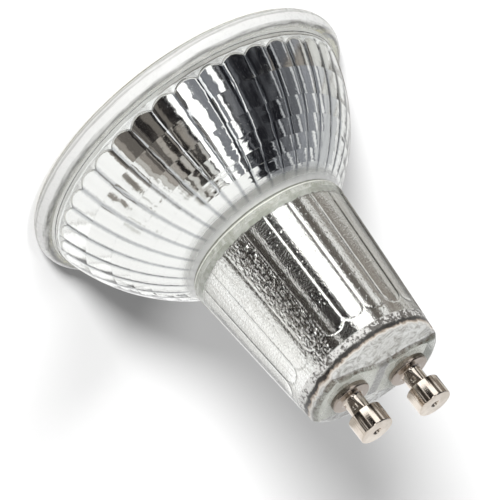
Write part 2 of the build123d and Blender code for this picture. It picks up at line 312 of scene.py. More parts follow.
# Glass body. Sizes are in mm, and a point is (r, z)
glass = {
    "columns": 360,
    "rimRadius": 24.99, "rimHeight": 3.0, "rimRound": 1.4,
    "bowlCentre": (-4.09, -3.40), "bowlRadius": 28.29,
    "bowlTopRadius": 23.45, "bowlEnd": (11.7, 20.1), "crease": 0.02,
    # corners of the shoulder: radius, height past the end of the bowl, and rounding
    "shoulder": ((12.02, 0.12, 0.25), (12.17, 0.75, 0.4)), "shoulderHeight": 1.6,
    "neckStartRadius": 12.2, "neckEndRadius": 10.3, "neckEnd": 43.2,
    # the bar stands above two side faces; its edge goes from one distance to another
    "barHeight": 45.8, "barEdge": (-0.15, 0.3), "lobeRadius": 4.4, "waist": 3.4,
    "waistRound": 0.9, "sideHeight": 45.0, "sideSlope": 6.0, "sideRise": 0.1,
    "pinX": 5.0, "edgeRound": 1.1, "edgeHeight": 44.4,
    "bowlWall": 2.0, "neckEndWall": 1.4, "floor": 42.2,
    "mouthRadius": 21.45, "lip": 0.1, "rebateRadius": 23.15, "rebateDepth": 2.55,
    # flutes: how many, degrees to the first edge, depth, and the line between neighbours,
    # which starts at a share of the way from the crown to the edge
    "bowlFlutes": 36, "bowlPhase": 7.9, "bowlDepth": 0.03, "bowlGroove": 0.035,
    "neckFlutes": 18, "neckPhase": 15.0, "neckDepth": 0.03, "neckGroove": 0.022,
    "grooveStart": 0.78, "fluteEnd": 38.9, "fluteEndLength": 1.5,
    "steps": (3.3, 7.2, 10.5, 12.6, 14.4, 15.9, 17.1, 18.6),  # heights of the facets' ends
    # rows of the mesh: from, to and how many, as shares of the radius for the floor and the
    # base, as heights for the neck and as degrees round the rim
    "floorRows": (0.15, 0.97, 6), "fluteEndRows": (42.2, 38.6, 9), "fluteRows": (38.2, 18.65, 26),
    "facetRows": 4, "rimRows": ((-84, 0, 12), (4, 84, 11)), "bowlRows": 34,
    "neckRows": (22.3, 42.6, 26), "edgeRows": (0, 90, 9), "baseRows": (1, 0.02, 54),
    # limits of the regions where an opaque tone lies over the clear glass, most of them painted light
    # and shade, from and to: in z or r, but for the waist in x and for the edge in z - r; a third
    # value is how soft both ends are
    "limits": {
        "rim": (22.8, 23.2), "rimTop": (2.9, 3.1), "outside": (10.9, 11.1),
        # the corner is painted pale, over the dark that the glass shows there
        "cornerStart": (18.6, 20.0), "cornerEnd": (20.05, 20.35),
        "throat": (18.5, 21.7, 0.1), "shoulder": (20.1, 21.4, 0.15),
        # at the crease of the shoulder: a painted dark line, and a painted highlight line just above
        # it
        "creaseShade": (20.0, 20.26, 0.05), "glint": (20.36, 20.60, 0.05),
        # band: the lining's edge painted on the side of the base, as flecked reflection and a dark
        # line
        "band": (42.4, 43.7, 0.15), "bandRadius": (9.0, 9.2),
        "onBase": (43.9, 44.3), "sunken": (45.1, 45.6), "waist": (0.9, 1.9),
        "edgeStart": (33.1, 33.5), "edgeEnd": (34.6, 35.1), "wall": (45.12, 45.7, 0.06)},
    # how much of each region's tone covers the clear glass
    "cover": {
        "rim": 0.7, "shoulder": 0.4, "throat": 0.9, "corner": 0.45, "band": 0.8, "creaseShade": 0.85,
        "glint": 0.8, "wall": 0.9, "onBase": 0.3, "sunken": 0.65, "edge": 0.9, "waist": 0.6},
    # one tone, or two that blotches or flecks mix; throat, band, waist, corner, shoulder, glint and
    # the line below it are painted light and shade, while clear, frost and bar are the glass's own
    "tones": {
        "clear": ((0.955, 0.97, 0.945), (0.975, 0.98, 0.965)),
        # throat: painted pale light on the inner glass, where the lamp's dark inside would show
        "throat": ((0.62, 0.64, 0.56), (0.86, 0.87, 0.82)),
        "frost": ((0.34, 0.33, 0.31), (0.86, 0.87, 0.86)),
        "bar": ((0.56, 0.60, 0.52), (0.76, 0.79, 0.72)),
        "band": ((0.07, 0.06, 0.055), (0.80, 0.79, 0.77)),
        # waist: painted shade across the middle of the bar
        "waist": (0.16, 0.16, 0.17), "corner": (0.94, 0.94, 0.93),
        # shoulder: painted grey shade on the outer shoulder ring
        "shoulder": (0.40, 0.41, 0.34), "glint": (0.98, 0.98, 0.90),
        "creaseShade": (0.15, 0.16, 0.12), "wall": (0.07, 0.05, 0.035)},
    # rings of painted light and shade over the height of the rim, and painted dark lines and
    # highlights over the round edge of the base
    "rimRings": [
        (0.0, (0.78, 0.74, 0.48)), (0.08, (0.36, 0.36, 0.28)), (0.18, (0.86, 0.86, 0.84)),
        (0.26, (0.50, 0.50, 0.49)), (0.33, 0.92), (0.43, 0.55), (0.50, 0.96), (0.78, 0.96),
        (0.86, 0.45), (0.91, 0.10), (1.0, 0.8)],
    "rimRingHeight": 3.2,
    # the round edge of the base: a painted dark line and a painted highlight
    "edgeRings": [
        (0.0, (0.25, 0.24, 0.23)), (0.12, (0.12, 0.11, 0.10)), (0.24, (0.012, 0.010, 0.010)),
        (0.46, (0.02, 0.016, 0.014)), (0.60, (0.42, 0.34, 0.27)), (0.74, (0.74, 0.71, 0.66)),
        (0.90, (0.62, 0.60, 0.57))],
    "edgeRingStart": 33.0, "edgeRingWidth": 2.0,
}


def neckOuter(z):
    # straight taper from the shoulder to the end of the neck
    share = (z - glass["bowlEnd"][1]) / (glass["neckEnd"] - glass["bowlEnd"][1])
    return glass["neckStartRadius"] + share * (glass["neckEndRadius"] - glass["neckStartRadius"])


def neckInner(z):
    # the outer taper less a wall that thins out towards the base
    share = (z - glass["steps"][-1]) / (glass["floor"] - glass["steps"][-1])
    return neckOuter(z) - glass["bowlWall"] - share * (glass["neckEndWall"] - glass["bowlWall"])


def bowlInner(z):
    # straight facets between the steps, whose corners are on the bowl's arc less its wall
    steps = np.array(glass["steps"])
    corner = glass["bowlCentre"][0] + np.sqrt(
        (glass["bowlRadius"] - glass["bowlWall"]) ** 2 - (steps - glass["bowlCentre"][1]) ** 2)
    return np.interp(z, steps, corner)


def acrossFlute(phi, count, phase):
    # place across a flute, from -1 at one edge over 0 at the crown to 1 at the other
    turn = np.mod(phi - np.radians(phase), 2 * np.pi / count) * count / (2 * np.pi)
    return 2 * turn - 1


def bowlFluted(z, phi, inset=0.0):
    # the facet's radius less the depth times across^2, and less a groove that grows with
    # the square of the way past its start
    across = acrossFlute(phi, glass["bowlFlutes"], glass["bowlPhase"])
    scale = bowlInner(z) / bowlInner(np.array(glass["steps"][0]))
    past = np.maximum(0, np.abs(across) - glass["grooveStart"])
    groove = glass["bowlGroove"] * past ** 2 / (1 - glass["grooveStart"]) ** 2
    return bowlInner(z) + inset - scale * (glass["bowlDepth"] * across ** 2 + groove)


def neckFluted(z, phi, inset=0.0):
    # a bulge 1 - across^2 that runs out in a round end near the base, with a groove round it
    across = acrossFlute(phi, glass["neckFlutes"], glass["neckPhase"])
    past = np.maximum(0, (z - glass["fluteEnd"]) / glass["fluteEndLength"])
    bulge = np.maximum(0, 1 - across ** 2 - past ** 2)
    groove = np.maximum(0, np.hypot(across, past) - glass["grooveStart"]) / (1 - glass["grooveStart"])
    groove = np.where(groove < 1, groove, np.maximum(0, 2 - groove)) ** 2 * glass["neckGroove"]
    return neckInner(z) + inset - glass["neckDepth"] * (1 - bulge) - groove


def baseHeight(x, y):
    # the base bar with its two lobes stands above two faces that slope gently outwards
    slope = math.tan(math.radians(glass["sideSlope"]))
    side = glass["sideHeight"] + (glass["lobeRadius"] - np.abs(y)) * slope
    side = np.minimum(side, glass["sideHeight"] + glass["sideRise"])
    strip = np.abs(y) - glass["waist"]
    lobe = np.hypot(np.abs(x) - glass["pinX"], y) - glass["lobeRadius"]
    end = np.maximum(np.abs(y) - glass["lobeRadius"], glass["pinX"] - np.abs(x))
    outside = softMin(strip, np.minimum(lobe, end), glass["waistRound"])
    return side + (glass["barHeight"] - side) * (1 - smooth(*glass["barEdge"], outside))


def glassInside(phi):
    # the floor from its middle outwards, the neck's flutes, and the bowl's fluted facets
    floor, steps, turn = glass["floor"], np.array(glass["steps"]), phi[None, :]
    share = np.linspace(*glass["floorRows"])[:, None]
    disc = share * neckFluted(np.array([[floor]]), turn)
    neck = [np.linspace(*glass["fluteEndRows"]), np.linspace(*glass["fluteRows"])]
    neck = np.concatenate(neck)[:, None]
    levels = steps[::-1]
    facets = [np.linspace(high, low, glass["facetRows"])[:-1]
              for high, low in zip(levels, levels[1:])]
    bowl = np.concatenate(facets + [levels[-1:]])[:, None]
    return [turnedGrid(disc, np.full(len(disc), floor), phi),
            turnedGrid(neckFluted(neck, turn), neck, phi),
            turnedGrid(bowlFluted(bowl, turn), bowl, phi)]


def glassProfile():
    # points of (r, z) from the mouth: rebate, round rim, crease, bowl's arc, shoulder, neck
    (centreR, centreZ), bowlRadius, crease = glass["bowlCentre"], glass["bowlRadius"], glass["crease"]
    ball, top = glass["rimRound"], glass["rimHeight"]
    edge = glass["rimRadius"] - ball
    mouth, rebate, depth = glass["mouthRadius"], glass["rebateRadius"], glass["rebateDepth"]
    front = roundedLine([
        (mouth, glass["steps"][0] - glass["lip"], 0), (mouth, depth, 0.15),
        (rebate, depth, 0.1), (rebate, 0, 0.15), (edge, 0, 0)], 4)
    lowRim = arcPoints((edge, ball), ball, *glass["rimRows"][0])
    highRim = arcPoints((edge, top - ball), ball, *glass["rimRows"][1])
    endR, endZ = glass["bowlEnd"]
    start = math.degrees(math.asin((top + 0.3 - centreZ) / bowlRadius))
    end = math.degrees(math.asin((endZ - 0.25 - centreZ) / bowlRadius))
    startR = centreR + bowlRadius * math.cos(math.radians(start))
    corner = roundedLine([
        (edge, top, 0), (glass["bowlTopRadius"] + crease, top, 0.12), (startR, top + 0.3, 0)], 4)
    bowl = arcPoints(glass["bowlCentre"], bowlRadius, start + 0.8, end, glass["bowlRows"])
    neckStart = endZ + glass["shoulderHeight"]
    shoulder = roundedLine([
        (*bowl[-1], 0), (endR - crease, endZ + crease, 0.12),
        *((r, endZ + height, radius) for r, height, radius in glass["shoulder"]),
        (neckOuter(neckStart), neckStart, 0)], 5)[1:]
    z = np.linspace(*glass["neckRows"])
    neck = np.stack([neckOuter(z), z], 1)
    return np.concatenate([front, lowRim, highRim, corner, bowl, shoulder, neck])


def glassBase(phi):
    # a round edge that follows the height of the base, then the base from there inwards
    ball = glass["edgeRound"]
    wide = neckOuter(np.array(glass["edgeHeight"])) - ball
    height = baseHeight(wide * np.cos(phi), wide * np.sin(phi))
    t = np.radians(np.linspace(*glass["edgeRows"]))[:, None]
    r = np.linspace(*glass["baseRows"])[1:, None] * wide
    return [turnedGrid(wide + ball * np.cos(t), height - ball + ball * np.sin(t), phi),
            turnedGrid(r, baseHeight(r * np.cos(phi), r * np.sin(phi)), phi)]


def glassMasks(net, x, r, z, waves, grime, blotches):
    # each mask is 1 in its region and 0 elsewhere, between the limits, with x, r, z in mm;
    # also a mottled z - r, which goes round the edge of the base
    limits = glass["limits"]
    outside = net.step(r, *limits["outside"])
    onBase = net.step(z, *limits["onBase"])
    around = z - r + (grime - 0.5) * 0.12 + (blotches - 0.5) * 0.3
    corner = net.step(z, *limits["cornerStart"]) * (1 - net.step(z, *limits["cornerEnd"]))
    edge = net.step(around, *limits["edgeStart"]) * (1 - net.step(around, *limits["edgeEnd"]))
    masks = {
        # the rim: painted rings of light and shade
        "rim": net.step(r, *limits["rim"]) * (1 - net.step(z, *limits["rimTop"])),
        # painted pale light on the inner glass by the shoulder
        "throat": net.band(z, *limits["throat"]) * (1 - outside),
        # painted pale light over the bowl's outer corner
        "corner": corner * outside,
        # painted grey shade on the shoulder ring, broken by blotches
        "shoulder": net.band(z, *limits["shoulder"]) * outside,
        # a painted dark line at the crease, and a painted highlight line just above it
        "creaseShade": net.band(z, *limits["creaseShade"]) * outside,
        "glint": net.band(z + (waves - 0.5) * 0.3, *limits["glint"]) * outside,
        # painted reflection of the lining and a painted dark line round the side of the base
        "band": net.band(z, *limits["band"]) * net.step(r, *limits["bandRadius"]),
        "wall": net.band(z, *limits["wall"]) * (0.35 + 0.65 * grime),
        "onBase": onBase,
        "sunken": onBase * (1 - net.step(z, *limits["sunken"])),
        # painted shade across the waist of the bar
        "waist": onBase * (1 - net.step(x.magnitude() + waves, *limits["waist"])),
        # the round edge of the base: a painted dark line and highlight
        "edge": edge}
    return masks, around


def glassTone(net, where, z, masks, around, blotches):
    # the tones of the regions, laid over each other in order; those of the rim, corner, shoulder,
    # crease lines, band, waist and round edge are painted light and shade
    tones = glass["tones"]
    rings = net.noise(net.stretched(where, (250.0, 250.0, 4200.0)), 1.0, 3.0)
    # painted light and dark rings on the rim, standing in for its reflections
    rimTone = net.ramp(z / glass["rimRingHeight"] + (rings - 0.5) * 0.2, glass["rimRings"])
    # painted dark line and highlight round the edge of the base
    roundEdge = (around - glass["edgeRingStart"]) / glass["edgeRingWidth"]
    edgeTone = net.ramp(roundEdge, glass["edgeRings"])
    lengthways = net.noise(net.stretched(where, (1300.0, 1300.0, 260.0)), 1.0, 3.0)
    flecks = net.noise(where, 2300.0, 3.0, 0.7) + (lengthways - 0.5) * 0.5
    flecks = flecks + (net.noise(where, 130.0) - 0.5) * 0.8
    # painted flecks of reflection and shade in the band
    bandTone = net.blend(net.step(flecks, 0.48, 0.64), *tones["band"])
    # painted shade at the waist over the bar's tone
    barTone = net.blend(masks["waist"], net.blend(blotches, *tones["bar"]), tones["waist"])
    frostTone = net.blend(blotches, *tones["frost"])
    layers = [
        (masks["rim"], rimTone), (masks["corner"], tones["corner"]),
        (masks["shoulder"] * (1 - blotches), tones["shoulder"]),
        # a painted highlight line, then a painted dark line at the crease of the shoulder
        (masks["glint"], tones["glint"]), (masks["creaseShade"], tones["creaseShade"]),
        (masks["band"], bandTone),
        (masks["onBase"], net.blend(masks["sunken"], barTone, frostTone)),
        (masks["edge"], edgeTone), (masks["wall"], tones["wall"])]
    tone = net.blend(blotches, *tones["throat"])
    for mask, colour in layers:
        tone = net.blend(mask, tone, colour)
    return tone


def glassMaterial():
    # clear glass, mixed with an opaque tone where it is thick, matt or dirty, and with painted light
    # and shade where it would show reflections and the lamp's inside: the mix is the largest of the
    # masks, each times its share of cover
    material, net = newMaterial("clearGlass")
    where = net.coordinate()
    x, y, z = net.parts(where)
    r = (x * x + y * y).root() * perMetre
    z = z * perMetre
    waves = net.noise(where, 220.0, 2.0)
    seeds = net.noise(where, 2600.0, 1.0)
    grime = net.step(net.noise(where, 1500.0, 4.0, 0.7), 0.40, 0.66)
    blotches = net.step(net.noise(where, 520.0, 5.0, 0.62, 1.5), 0.36, 0.60)
    masks, around = glassMasks(net, x * perMetre, r, z, waves, grime, blotches)
    tone = glassTone(net, where, z, masks, around, blotches)
    # the cover is painted light and shade in most regions, and frost and the bar's own tone on the
    # base
    cover, *others = [masks[name] * share for name, share in glass["cover"].items()]
    for other in others:
        cover = cover.atLeast(other)
    dirt = masks["sunken"] * grime
    normal = net.bump(waves * 0.9 + seeds * 0.02 + dirt * 0.3, 0.25, 0.00012)
    clear = net.principled(Base_Color=net.blend(waves, *glass["tones"]["clear"]),
                           Roughness=0.25 * dirt, IOR=1.5, Transmission_Weight=1.0, Normal=normal)
    pale = net.principled(Base_Color=tone, Roughness=0.25 + 0.2 * grime, IOR=1.5, Normal=normal)
    net.finish(net.add("ShaderNodeMixShader", sockets={0: cover, 1: clear, 2: pale}))
    return material


phi = np.arange(glass["columns"]) * 2 * np.pi / glass["columns"]
profile = glassProfile()
grid = np.concatenate([
    *glassInside(phi), turnedGrid(profile[:, 0], profile[:, 1], phi), *glassBase(phi)])
glassPiece = addSurface("pressed_glass", grid, (0, 0, glass["floor"]), (0, 0, glass["barHeight"]))
place(glassPiece, glassMaterial(), "clear_glass", "glass_body")
print("glass body", len(glassPiece.data.polygons))


# Silvered bowl: its facets are tilted, lean sideways and have jagged rows, all by chance and
# in mm. Where it is calm, between turns in degrees from the camera's side, a share is left
silver = {
    "columnsPerFlute": 14, "rowsPerFacet": 12, "sunk": 0.05, "thickness": 0.25,
    "archTop": 3.3, "archRise": 0.75, "break": 0.005,
    "tilt": 0.014, "lean": 0.020, "sway": 0.018,
    "calm": ((-88.0, -35.0), (42.0, 98.0)), "calmShare": 0.2,
    "tones": ((0.93, 0.93, 0.92), (0.97, 0.97, 0.97)),
    # the edge tone is painted grey shade along the edges of the flutes
    "edgeTone": (0.52, 0.53, 0.55), "edge": (0.6, 1.0),  # from and to, across a flute
    "worn": (0.0172, 0.0179),  # from and to, in metres up the axis
}


def facetErrors(facet, flute, turn):
    # for each row and column: tilt and sideways lean of its facet, with jagged rows added
    shape = (len(glass["steps"]) - 1, glass["bowlFlutes"])
    tilt = rng.normal(0, silver["tilt"], shape)[facet][:, flute]
    sideways = rng.normal(0, silver["lean"], shape)[facet][:, flute]
    sway = rng.normal(0, silver["sway"], (len(facet), glass["bowlFlutes"]))[:, flute]
    turn = np.mod(turn + 180, 360) - 180
    calm = sum((turn > low) & (turn < high) for low, high in silver["calm"])
    share = np.where(calm > 0, silver["calmShare"], 1)
    return tilt * share, (sideways + sway) * share


def reflectorGrid(phi):
    # outer side from the arched edge over the facets to the neck, then back along the inner
    # side; the outer radius changes by tilt times the way up the facet, and by lean times
    # across - across^3
    across = acrossFlute(phi, glass["bowlFlutes"], glass["bowlPhase"])[None, :]
    levels, rows = np.array(glass["steps"]), silver["rowsPerFacet"]
    facets = [np.linspace(low, high - silver["break"], rows)
              for low, high in zip(levels, levels[1:])]
    z = np.concatenate(facets)[:, None] + 0 * across
    arch = silver["archTop"] + silver["archRise"] * across ** 2
    first = levels[1]
    z = np.where(z < first, arch + (z - levels[0]) * (first - arch) / (first - levels[0]), z)
    facet = np.arange(len(z)) // rows
    flute = np.arange(len(phi)) // silver["columnsPerFlute"]
    halfFlute = 180 / glass["bowlFlutes"]
    turn = np.degrees(phi[flute * silver["columnsPerFlute"]]) + halfFlute - viewAzimuth
    tilt, sideways = facetErrors(facet, flute, turn)
    middle = (levels[facet] + levels[facet + 1])[:, None] / 2
    outer = bowlFluted(z, phi[None, :], silver["sunk"])
    outer = outer + tilt * (z - middle) + sideways * across * (1 - across ** 2)
    back = z[::-rows]
    inner = bowlFluted(back, phi[None, :], silver["sunk"] - silver["thickness"])
    sharp = [rows * step - side for step in range(1, len(levels) - 1) for side in (0, 1)]
    return np.concatenate([turnedGrid(outer, z, phi), turnedGrid(inner, back, phi)]), sharp


def silverMaterial():
    # mirror with fine pits and lines, with painted grey shade towards the edges of the flutes, and
    # matt in its last fraction of a millimetre
    material, net = newMaterial("mirrorSilver")
    where = net.coordinate()
    waves = net.noise(where, 700.0, 2.0)
    lines = net.noise(net.stretched(where, (1500.0, 1500.0, 5200.0)), 1.0, 2.0)
    pits = net.step(net.noise(where, 2600.0, 2.0), 0.62, 0.72)
    x, y, z = net.parts(where)
    turn = x.math("ARCTAN2", y, x) * (180 / math.pi) - glass["bowlPhase"]
    turn = turn * (glass["bowlFlutes"] / 360)
    across = (turn.math("FRACT", turn) * 2 - 1).magnitude()
    # painted grey shade towards the flutes' edges, where the mirror would show grey reflections
    edge = net.step(across + (lines - 0.5) * 0.2, *silver["edge"])
    tone = net.blend(edge, net.blend(net.noise(where, 150.0), *silver["tones"]), silver["edgeTone"])
    worn = net.step(z, *silver["worn"])
    surface(net, Base_Color=tone, Metallic=1.0, Roughness=0.03 + 0.1 * pits + 0.5 * worn,
            Normal=net.bump(waves * 0.6 + pits * 0.2 + lines * 0.5, 0.3, 0.00002))
    return material


count = glass["bowlFlutes"] * silver["columnsPerFlute"]
phi = np.arange(count) * 2 * np.pi / count + np.radians(glass["bowlPhase"])
grid, sharp = reflectorGrid(phi)
silverPiece = addSurface("silvered_bowl", grid, joined=True, sharpRows=sharp,
                         sharpColumns=np.arange(0, count, silver["columnsPerFlute"]))
place(silverPiece, silverMaterial(), "silvering", "fluted_reflector")
print("silvered bowl", len(silverPiece.data.polygons))


# Neck lining: grain, lumps and pits are heights in mm, and fine and coarse name flutes
lining = {
    "columnsPerFlute": 32, "rows": 104, "sunk": 0.05, "thickness": 0.5,
    "start": 21.6, "ragged": 0.22, "raggedWaves": (5, 90),
    "grain": 0.0008, "fine": {14: 0.0010, 16: 0.0014}, "coarse": {15: 0.015},
    "pits": 0.008, "pitShare": 0.010,
    "discRows": (0.98, 0.04, 24), "discThickness": 0.4, "underGap": 0.7, "backRows": 5,
    "specks": ((0.84, 0.835, 0.83), (0.98, 0.98, 0.98)), "patch": (0.90, 0.885, 0.86),
    "streak": (0.80, 0.785, 0.77), "cement": ((0.62, 0.61, 0.57), (0.78, 0.78, 0.75)),
    "cementStart": (0.04215, 0.0422),  # metres up the axis
}


def grainy(side, phi):
    # each vertex moves by its flute's grain; a coarse flute also gets lumps, one for every
    # second row and column with means between, and a few vertices are pits
    grain = np.full(glass["neckFlutes"], lining["grain"])
    grain[list(lining["fine"])] = list(lining["fine"].values())
    flute = np.arange(len(phi)) // lining["columnsPerFlute"]
    side = side + rng.normal(0, 1, side.shape) * grain[flute]
    lumps = rng.normal(0, 1, (side.shape[0] // 2 + 1, side.shape[1] // 2))
    lumps = np.stack([lumps, (lumps + np.roll(lumps, -1, 1)) / 2], 2).reshape(len(lumps), -1)
    lumps = np.stack([lumps[:-1], (lumps[:-1] + lumps[1:]) / 2], 1).reshape(side.shape)
    across = acrossFlute(phi, glass["neckFlutes"], glass["neckPhase"])
    for index, reach in lining["coarse"].items():
        side = side + lumps * reach * smooth(1, 0.75, np.abs(across)) * (flute == index)
    return side - lining["pits"] * (rng.random(side.shape) < lining["pitShare"])


def liningGrid(phi):
    # the underside of the disc from its middle, a plain inner cone down to the ragged edge
    # by the shoulder, the grainy flutes up to the floor of the base, and the disc's top
    edge = lining["start"] + ripple(phi, lining["ragged"], *lining["raggedWaves"])
    top = glass["floor"] + lining["sunk"]
    bottom = glass["floor"] - lining["discThickness"]
    z = edge + (top - edge) * np.linspace(0, 1, lining["rows"])[:, None]
    side = grainy(neckFluted(np.minimum(z, glass["floor"]), phi[None, :], lining["sunk"]), phi)
    disc = np.linspace(*lining["discRows"])[:, None]
    cap = disc * side[-1:]
    low = edge + (bottom - edge) * np.linspace(1, 0, lining["backRows"])[:, None]
    back = neckInner(low) - glass["neckDepth"] - lining["thickness"]
    under = disc[::-3] * (neckInner(np.array(glass["floor"])) - lining["underGap"])
    return np.concatenate([
        turnedGrid(under, np.full(len(under), bottom), phi), turnedGrid(back, low, phi),
        turnedGrid(side, z, phi), turnedGrid(cap, np.full(len(disc), top), phi)])


def liningMaterial():
    # bright metal with specks, patches and lengthways streaks; the disc is matt cement
    material, net = newMaterial("grainyAluminium")
    where = net.coordinate()
    z = net.parts(where)[2]
    grain = net.noise(where, 4300.0, 2.0, 0.6)
    patches = net.step(net.noise(where, 170.0, 3.0), 0.4, 0.62)
    specks = net.step(net.noise(where, 5200.0, 2.0, 0.6), 0.38, 0.62)
    streaks = net.noise(net.stretched(where, (2400.0, 2400.0, 130.0)), 1.0, 4.0, 0.6)
    cement = net.step(z, *lining["cementStart"])
    tone = net.blend(patches * 0.5, net.blend(specks, *lining["specks"]), lining["patch"])
    tone = net.blend(net.step(streaks, 0.34, 0.50), lining["streak"], tone)
    tone = net.blend(cement, tone, net.blend(specks, *lining["cement"]))
    surface(net, Base_Color=tone, Metallic=1 - cement,
            Roughness=0.03 + 0.04 * patches + 0.4 * cement,
            Normal=net.bump(grain + streaks * 0.5, 0.2, 0.00003))
    return material


count = glass["neckFlutes"] * lining["columnsPerFlute"]
phi = np.arange(count) * 2 * np.pi / count + np.radians(glass["neckPhase"])
poles = [(0, 0, glass["floor"] - lining["discThickness"]), (0, 0, glass["floor"] + lining["sunk"])]
liningPiece = addSurface("neck_lining", liningGrid(phi), *poles, smoothShade=False)  # flat grains
place(liningPiece, liningMaterial(), "grainy_aluminium", "neck_sleeve")
print("neck lining", len(liningPiece.data.polygons))


# Contact pins, in mm and degrees
pin = {
    "columns": 96, "collar": (2.9, 45.8, 46.65), "shank": 1.45, "shankRows": 22,
    "headStart": 49.4, "head": 2.5, "top": 52.5,
    "tail": 1.1, "tailFoot": (1.5, 41.6), "tailEnd": 41.0,
    # the slanted flat starts this far above the collar and reaches its depth further up
    "flatSide": -42.0, "flatDepth": 0.32, "flatStart": 0.3, "flatLength": 2.2,
    "dentHeight": 48.25, "dentHalfWidth": (0.32, 0.24), "dentDepth": 0.09,
    # an edge goes from one radius to another; the nub is a share of the dimple's depth
    "dimpleEdge": (0.68, 0.42), "dimpleDepth": 0.45, "nubEdge": (0.3, 0.1), "nub": 0.2,
    "faceRows": (1.1, 0.04, 20),
    # the darker tone is painted shade on the collar and in the dimple
    "plating": ((0.65, 0.575, 0.50), (0.77, 0.70, 0.62)), "pinShade": (0.36, 0.31, 0.27),
    # from and to of the painted shade, in metres up the axis and round the middle of the dimple
    "pinShadeHeight": (0.0466, 0.0472), "shadedDimple": (0.00045, 0.00062),
}


def pinProfile():
    # points of (r, z) from the tail over collar, shank and head to the edge of the dimple,
    # with even rows along the shank
    collar, low, high = pin["collar"]
    foot, footTop = pin["tailFoot"]
    line = roundedLine([
        (0.2, pin["tailEnd"], 0), (foot, pin["tailEnd"], 0.1), (foot, footTop, 0.1),
        (pin["tail"], footTop, 0.1), (pin["tail"], low, 0), (collar, low, 0.12),
        (collar, high, 0.18), (pin["shank"], high, 0.45), (pin["shank"], pin["headStart"], 0.05),
        (pin["head"], pin["headStart"], 0.12), (pin["head"], pin["top"], 0.22),
        (1.2, pin["top"], 0)], 6)
    levels = np.linspace(high + 0.5, pin["headStart"] - 0.1, pin["shankRows"])
    shank = np.stack([np.full(len(levels), pin["shank"]), levels], 1)
    cut = int(np.argmax((line[:, 1] > high + 0.44) & (line[:, 0] < pin["shank"] + 0.01)))
    return np.concatenate([line[:cut], shank, line[cut + 1:]])


def pinGrid(phi, x):
    # a turned profile; a flat cuts the shank at slant / cos of the angle from its side, with
    # a small square dent in it, and the end face has a round dimple
    line = pinProfile()
    high = pin["collar"][2]
    radius, height = np.repeat(line[:, :1], len(phi), 1), np.repeat(line[:, 1:], len(phi), 1)
    turn = phi[None, :] - math.radians(pin["flatSide"])
    turn = np.abs(np.mod(turn + np.pi, 2 * np.pi) - np.pi)
    facing = np.minimum(turn, 1.2)
    onShank = (height > high + 0.2) & (height < pin["headStart"] - 0.02)
    rise = np.clip((height - high - pin["flatStart"]) / pin["flatLength"], 0, 1)
    slant = pin["shank"] - pin["flatDepth"] * rise
    flat = slant / np.maximum(np.cos(facing), 0.2)
    across, up = slant * np.tan(facing), height - pin["dentHeight"]
    dent = smooth(*pin["dentHalfWidth"], np.maximum(np.abs(across), np.abs(up))) * pin["dentDepth"]
    radius = np.where(onShank, np.minimum(radius, flat) - dent * (turn < 0.6), radius)
    end = np.linspace(*pin["faceRows"])[:, None] + 0 * phi
    bowl = smooth(*pin["dimpleEdge"], end) - pin["nub"] * smooth(*pin["nubEdge"], end)
    face = turnedGrid(end, pin["top"] - pin["dimpleDepth"] * bowl, phi, x)
    return np.concatenate([turnedGrid(radius, height, phi, x), face])


def nickelMaterial():
    # plating with turning marks and stains, with painted shade below the shank and in the dimple
    material, net = newMaterial("nickel")
    where = net.coordinate()
    x, y, z = net.parts(where)
    marks = {"W": z, "Scale": 9000.0, "Detail": 2.0}
    rings = net.add("ShaderNodeTexNoise", {"noise_dimensions": "1D"}, marks)
    stain = net.noise(where, 500.0, 3.0)
    plating = net.blend(net.step(stain, 0.35, 0.7), *pin["plating"])
    # painted shade on the collar below the shank, and in the dimple
    pinShade = 1 - net.step(z + (stain - 0.5) * 0.0005, *pin["pinShadeHeight"])
    away = x.magnitude() - glass["pinX"] * mm
    inDimple = 1 - net.step((away * away + y * y).root(), *pin["shadedDimple"])
    pinShade = pinShade.atLeast(inDimple)
    surface(net, Base_Color=net.blend(pinShade, plating, pin["pinShade"]), Metallic=1.0,
            Roughness=0.06 + 0.1 * stain + 0.08 * pinShade,
            Normal=net.bump(rings + stain * 0.6, 0.2, 0.00001))
    return material


nickel = nickelMaterial()
phi = np.arange(pin["columns"]) * 2 * np.pi / pin["columns"]
dimpleFloor = pin["top"] - pin["dimpleDepth"] * (1 - pin["nub"])
for name, sign in (("right", 1), ("left", -1)):
    x = sign * glass["pinX"]
    poles = [(x, 0, pin["tailEnd"]), (x, 0, dimpleFloor)]
    pinPiece = addSurface(f"turned_pin_{name}", pinGrid(phi, x), *poles)
    place(pinPiece, nickel, "nickel", f"contact_pin_{name}")
print("contact pins")


